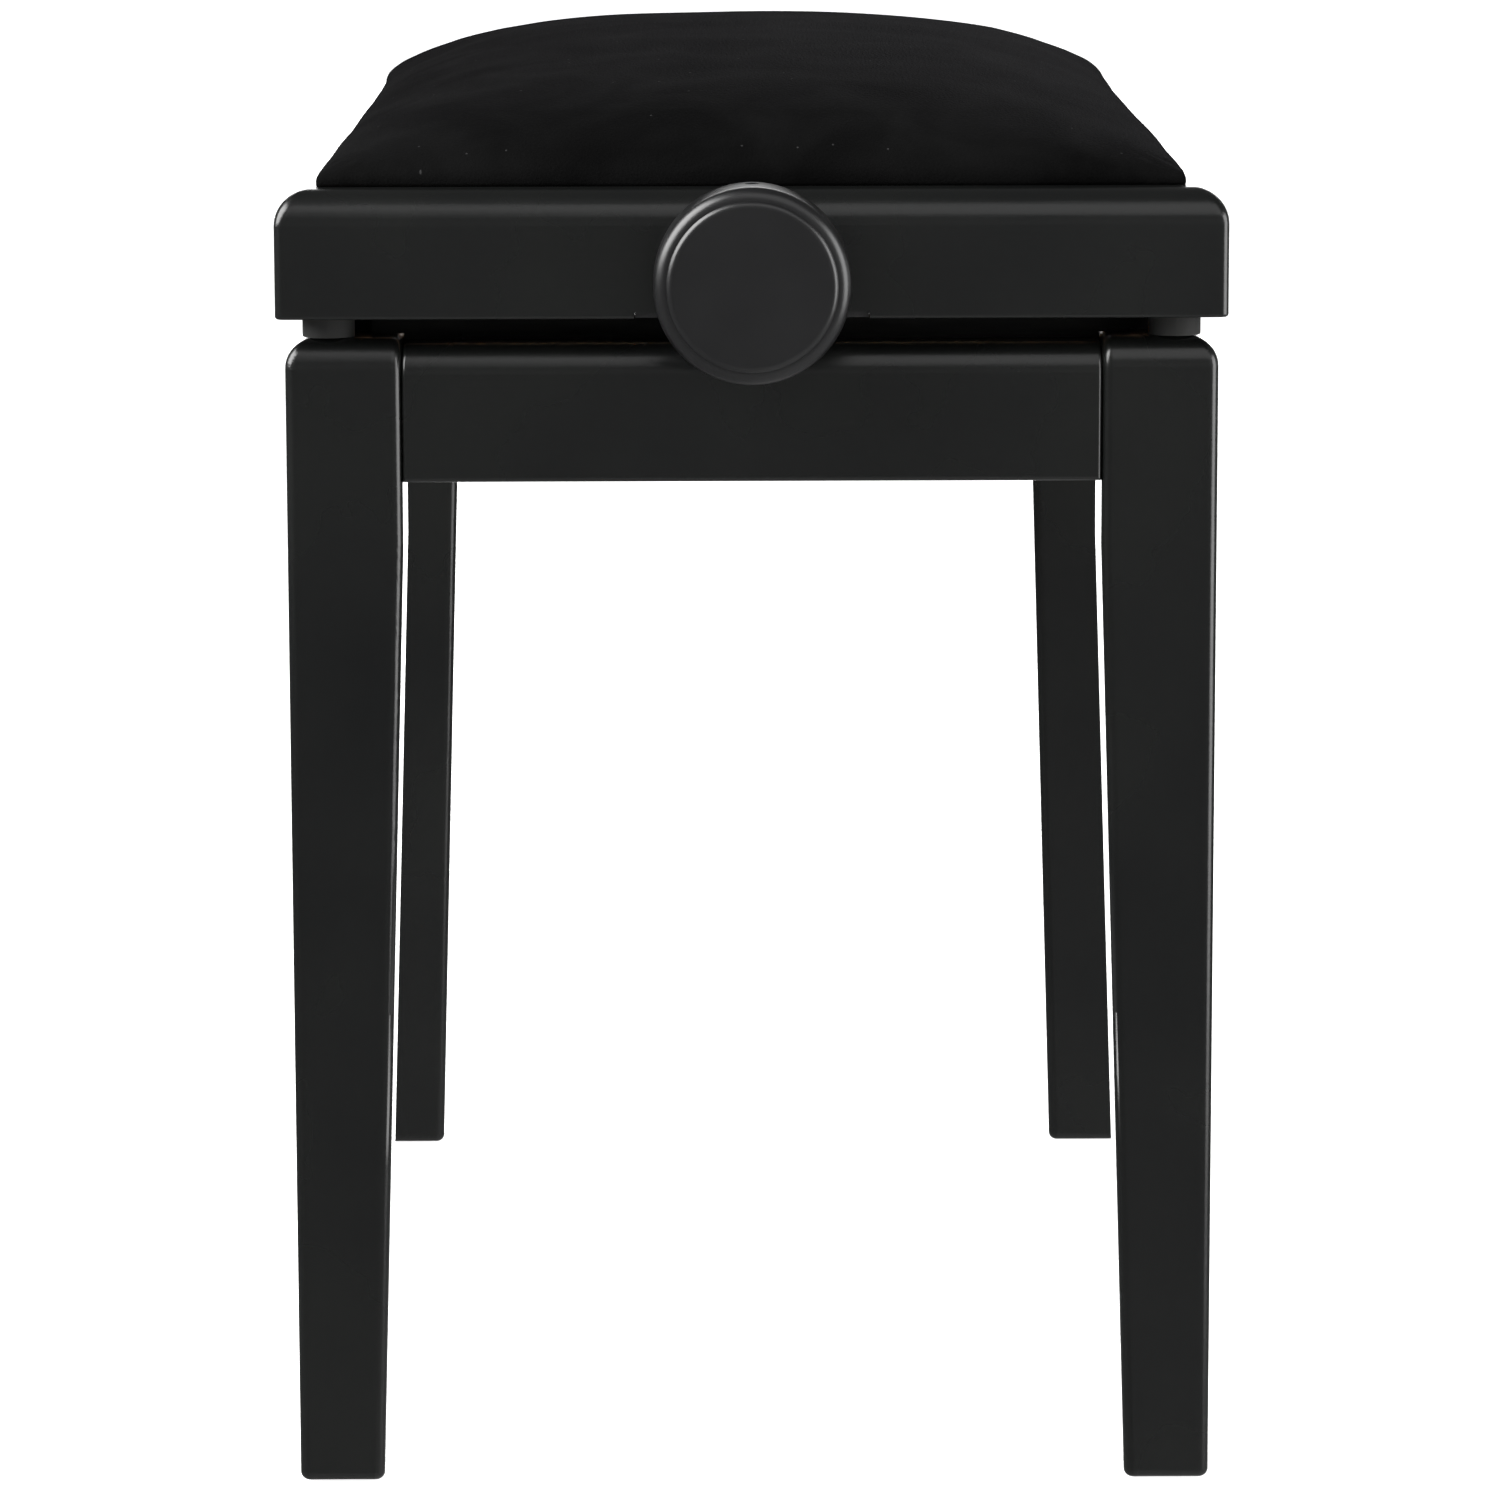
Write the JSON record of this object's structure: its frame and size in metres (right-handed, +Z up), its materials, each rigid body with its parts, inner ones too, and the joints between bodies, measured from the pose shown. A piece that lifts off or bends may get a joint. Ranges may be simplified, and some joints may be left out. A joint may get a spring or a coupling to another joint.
{
  "type": "adjustable piano bench",
  "caption": "Height-adjustable piano bench: black lacquered frame on tapered legs, domed black velvet seat, scissor lift turned by end knobs.",
  "frame": {"origin": "on the floor, under the middle of the bench", "axes": "+X along the bench's length, +Y across its width, +Z up; the seat is at its lowest height"},
  "size_m": [0.622, 0.326, 0.496],
  "materials": {
    "black_lacquered_wood": "satin",
    "beech_block": "matte",
    "birch_plywood": "matte",
    "black_velvet": "matte",
    "seat_foam": "matte",
    "glide_plastic": "matte",
    "bumper_rubber": "matte",
    "knob_plastic": "satin",
    "black_painted_steel": "satin",
    "zinc_plated_steel": "satin",
    "brass": "satin",
    "nylon": "matte"
  },
  "bodies": {
    "base_frame": {"apron_far": "black_lacquered_wood", "apron_left": "black_lacquered_wood", "apron_near": "black_lacquered_wood", "apron_right": "black_lacquered_wood", "base_axle": "zinc_plated_steel", "base_axle_rings": "zinc_plated_steel", "base_axle_spacers": "zinc_plated_steel", "base_channel_left": "black_painted_steel", "base_channel_right": "black_painted_steel", "base_channel_screws": "zinc_plated_steel", "base_corner_blocks": "beech_block", "base_lips": "black_lacquered_wood", "bumper_screws": "zinc_plated_steel", "bumpers": "bumper_rubber", "foot_glides": "glide_plastic", "leg_bolt_washers": "zinc_plated_steel", "leg_bolts": "zinc_plated_steel", "leg_far_left": "black_lacquered_wood", "leg_far_right": "black_lacquered_wood", "leg_near_left": "black_lacquered_wood", "leg_near_right": "black_lacquered_wood"},
    "outer_arms": {"outer_arm_left": "black_painted_steel", "outer_arm_right": "black_painted_steel", "outer_arm_tie": "black_painted_steel", "scissor_pins": "zinc_plated_steel", "scissor_pin_rings": "zinc_plated_steel", "scissor_washers": "zinc_plated_steel"},
    "inner_arms": {"inner_arm_left": "black_painted_steel", "inner_arm_right": "black_painted_steel", "inner_arm_tie": "black_painted_steel", "slide_axle": "zinc_plated_steel", "lower_slide_bushes": "nylon"},
    "cross_bar_assembly": {"cross_bar": "zinc_plated_steel", "upper_slide_bushes": "nylon", "spindle_nut": "brass"},
    "seat_frame": {"board_screws": "zinc_plated_steel", "bracket_screws": "zinc_plated_steel", "foam_pad": "seat_foam", "seat_board": "birch_plywood", "seat_channel_left": "black_painted_steel", "seat_channel_right": "black_painted_steel", "seat_channel_screws": "zinc_plated_steel", "seat_corner_blocks": "beech_block", "seat_pivot_pins": "zinc_plated_steel", "seat_pivot_rings": "zinc_plated_steel", "seat_rail_far": "black_lacquered_wood", "seat_rail_left": "black_lacquered_wood", "seat_rail_near": "black_lacquered_wood", "seat_rail_right": "black_lacquered_wood", "spindle_bracket_far": "black_painted_steel", "spindle_bracket_near": "black_painted_steel", "spindle_bush_far": "nylon", "spindle_bush_near": "nylon", "velvet_cover": "black_velvet"},
    "spindle_assembly": {"collar_set_screws": "zinc_plated_steel", "knob_far": "knob_plastic", "knob_near": "knob_plastic", "knob_set_screws": "zinc_plated_steel", "spindle": "zinc_plated_steel", "thrust_collar_far": "zinc_plated_steel", "thrust_collar_near": "zinc_plated_steel"}
  },
  "joints": [
    {"name": "outer_arm_lift", "type": "hinge", "parent": "base_frame", "child": "outer_arms", "pos_m": [-0.18, 0, 0.3662], "axis": [0, -1, 0], "range_deg": [0, 16]},
    {"name": "inner_arm_fold", "type": "hinge", "parent": "outer_arms", "child": "inner_arms", "pos_m": [0, 0, 0.39592], "axis": [0, 1, 0], "range_deg": [0, 32]},
    {"name": "seat_level", "type": "hinge", "parent": "inner_arms", "child": "seat_frame", "pos_m": [-0.18, 0, 0.42565], "axis": [0, -1, 0], "range_deg": [0, 16]},
    {"name": "cross_bar_level", "type": "hinge", "parent": "outer_arms", "child": "cross_bar_assembly", "pos_m": [0.18, 0, 0.42565], "axis": [0, 1, 0], "range_deg": [0, 16]},
    {"name": "spindle_turn", "type": "hinge", "parent": "seat_frame", "child": "spindle_assembly", "pos_m": [0, 0, 0.42565], "axis": [1, 0, 0], "range_deg": [0, 3640]}
  ],
  "couplings": [
    {"joint": "inner_arm_fold", "follows": "outer_arm_lift", "ratio": 2},
    {"joint": "seat_level", "follows": "outer_arm_lift", "ratio": 1},
    {"joint": "cross_bar_level", "follows": "outer_arm_lift", "ratio": 1},
    {"joint": "spindle_turn", "follows": "outer_arm_lift", "ratio": 227.5}
  ]
}
